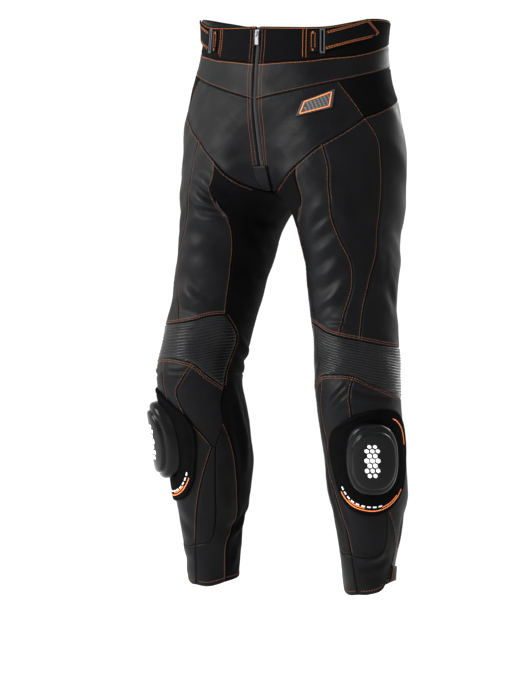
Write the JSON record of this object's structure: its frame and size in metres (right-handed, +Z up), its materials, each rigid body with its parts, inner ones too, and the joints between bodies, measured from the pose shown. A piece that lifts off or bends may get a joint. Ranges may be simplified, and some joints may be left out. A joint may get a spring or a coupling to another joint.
{
  "type": "leather motorcycle trousers",
  "caption": "Leather motorcycle trousers filled out with no wearer, with stretch panels, ribbed knees, hard knee sliders and a zip fly",
  "frame": {"origin": "centre of the waist opening, level with the rim at the hips", "axes": "+Z up, front faces -Y, wearer's left is +X"},
  "size_m": [0.4668, 0.2467, 0.9586],
  "materials": {
    "leather": "satin grained cowhide",
    "stretch": "matt woven stretch",
    "rib_stretch": "soft leather folded in ribs",
    "pad_fabric": "matt loop fabric",
    "slider_plastic": "satin moulded plastic",
    "ring_plastic": "moulded",
    "webbing": "woven webbing",
    "zip_tape": "woven tape",
    "zip_metal": "grey enamel",
    "badge_rubber": "moulded rubber"
  },
  "bodies": {
    "trousers": {"yoke_r": "leather", "hip_front_r": "leather", "seat_r": "leather", "thigh_front_r": "leather", "thigh_mid_r": "leather", "thigh_outer_r": "leather", "thigh_back_r": "leather", "knee_inner_r": "leather", "shin_front_r": "leather", "shin_inner_r": "leather", "cuff_inner_r": "leather", "cuff_front_r": "leather", "calf_outer_r": "leather", "ankle_tab_r": "leather", "waistband_front_r": "stretch", "waistband_side_r": "stretch", "hip_side_r": "stretch", "inner_thigh_r": "stretch", "knee_back_r": "stretch", "calf_back_r": "stretch", "knee_ribs_r": "rib_stretch", "knee_pad_r": "pad_fabric", "knee_slider_r": "slider_plastic", "waist_ring_r": "ring_plastic", "ring_loop_r": "webbing", "waist_strap_r": "webbing", "yoke_l": "leather", "hip_front_l": "leather", "seat_l": "leather", "thigh_front_l": "leather", "thigh_mid_l": "leather", "thigh_outer_l": "leather", "thigh_back_l": "leather", "knee_inner_l": "leather", "shin_front_l": "leather", "shin_inner_l": "leather", "cuff_inner_l": "leather", "cuff_front_l": "leather", "calf_outer_l": "leather", "ankle_tab_l": "leather", "waistband_front_l": "stretch", "waistband_side_l": "stretch", "hip_side_l": "stretch", "inner_thigh_l": "stretch", "knee_back_l": "stretch", "calf_back_l": "stretch", "knee_ribs_l": "rib_stretch", "knee_pad_l": "pad_fabric", "knee_slider_l": "slider_plastic", "waist_ring_l": "ring_plastic", "ring_loop_l": "webbing", "waist_strap_l": "webbing", "waistband_back": "stretch", "yoke_back": "leather", "fly_tab": "leather", "fly_zip": "zip_tape", "zip_slider": "zip_metal", "hip_badge": "badge_rubber"},
    "pull": {"zip_pull": "zip_metal"}
  },
  "joints": [
    {"name": "zip_pull_swing", "type": "hinge", "parent": "trousers", "child": "pull", "pos_m": [0, -0.1165, -0.038], "axis": [-1, 0, 0], "range_deg": [0, 150]}
  ]
}
